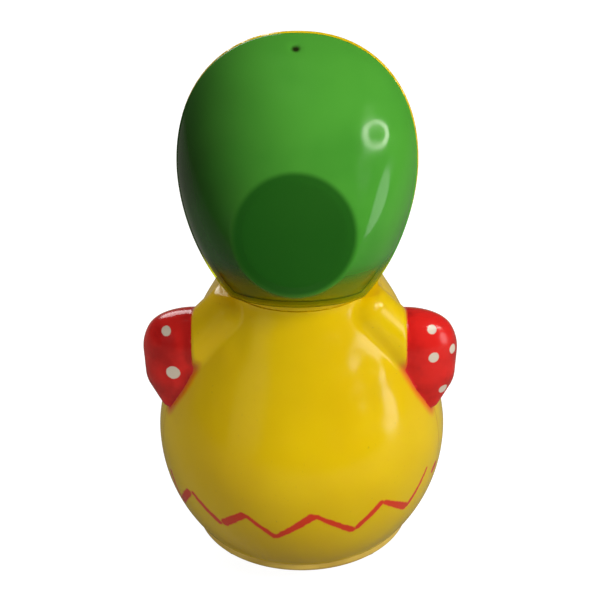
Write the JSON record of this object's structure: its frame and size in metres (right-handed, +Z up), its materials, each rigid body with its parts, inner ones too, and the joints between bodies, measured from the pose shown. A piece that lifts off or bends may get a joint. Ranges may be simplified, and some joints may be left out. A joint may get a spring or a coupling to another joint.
{
  "type": "wind-up hopping chick toy",
  "caption": "Clockwork hopping chick: hollow moulded body in two shells, round head in a flared bonnet, flank key, geared spring motor and feet on a crank-driven lever.",
  "frame": {"origin": "on the ground under the body's vertical axis, midway between the feet's soles", "axes": "+Z up, the chick faces -Y, its own left side and the key are on +X; every clockwork arbor lies along X"},
  "size_m": [0.0626, 0.0636, 0.1154],
  "materials": {
    "yellow_plastic": "glossy moulded polystyrene, wings and zigzag band painted red",
    "green_plastic": "glossy translucent green polystyrene",
    "orange_plastic": "glossy moulded plastic",
    "black_plastic": "glossy moulded plastic",
    "base_plastic": "tan-yellow moulded plastic",
    "bush_plastic": "plain nylon",
    "steel": "zinc-plated stamped steel",
    "spring_steel": "blued spring steel",
    "brass": "stamped brass",
    "key_steel": "nickel-plated steel"
  },
  "bodies": {
    "casing": {"body_front_shell": "yellow_plastic", "body_back_shell": "yellow_plastic", "face_shell": "yellow_plastic", "bonnet": "green_plastic", "beak": "orange_plastic", "eyes": "black_plastic", "base_plate": "base_plastic", "base_screws": "steel", "frame_plate_left": "steel", "frame_plate_right": "steel", "frame_pillars": "steel", "motor_screws": "steel", "mainspring": "spring_steel", "key_bush": "bush_plastic", "foot_pivot_pin": "steel", "spring_post": "steel", "foot_return_spring": "spring_steel"},
    "winding_side": {"winding_arbor": "steel", "ratchet_wheel": "steel", "winding_key": "key_steel"},
    "great_wheel_side": {"great_wheel": "brass", "click_stud": "steel", "click_spring": "spring_steel"},
    "click_side": {"click": "steel"},
    "second_side": {"second_arbor": "steel", "second_pinion": "steel", "second_wheel": "brass"},
    "third_side": {"third_arbor": "steel", "third_pinion": "steel", "third_wheel": "brass"},
    "crank_side": {"crank_arbor": "steel", "crank_pinion": "steel", "crank_disc": "steel", "crank_pin": "steel"},
    "foot_side": {"foot_lever": "steel", "left_foot": "orange_plastic", "right_foot": "orange_plastic", "foot_rivets": "steel"}
  },
  "joints": [
    {"name": "great_wheel_spin", "type": "hinge", "parent": "casing", "child": "great_wheel_side", "pos_m": [0, -0.014, 0.0182], "axis": [1, 0, 0], "continuous": true},
    {"name": "key_spin", "type": "hinge", "parent": "casing", "child": "winding_side", "pos_m": [0, -0.014, 0.0182], "axis": [1, 0, 0], "continuous": true},
    {"name": "second_arbor_spin", "type": "hinge", "parent": "casing", "child": "second_side", "pos_m": [0, -0.00241, 0.02288], "axis": [1, 0, 0], "continuous": true},
    {"name": "third_arbor_spin", "type": "hinge", "parent": "casing", "child": "third_side", "pos_m": [0, 0.00642, 0.01819], "axis": [1, 0, 0], "continuous": true},
    {"name": "crank_spin", "type": "hinge", "parent": "casing", "child": "crank_side", "pos_m": [0, -0.00048, 0.0124], "axis": [1, 0, 0], "continuous": true},
    {"name": "click_lift", "type": "hinge", "parent": "great_wheel_side", "child": "click_side", "pos_m": [0, -0.02038, 0.01649], "axis": [1, 0, 0], "range_deg": [0, 12], "deforming": ["click_spring"]},
    {"name": "foot_hop", "type": "hinge", "parent": "casing", "child": "foot_side", "pos_m": [0, 0.0095, 0.0098], "axis": [1, 0, 0], "range_deg": [0, 12], "stiffness_Nm_per_rad": 0.02, "springref_deg": -8.59, "deforming": ["foot_return_spring"]}
  ],
  "couplings": [
    {"joint": "key_spin", "follows": "great_wheel_spin", "ratio": 1},
    {"joint": "second_arbor_spin", "follows": "great_wheel_spin", "ratio": -4},
    {"joint": "third_arbor_spin", "follows": "great_wheel_spin", "ratio": 12},
    {"joint": "crank_spin", "follows": "great_wheel_spin", "ratio": -42}
  ]
}
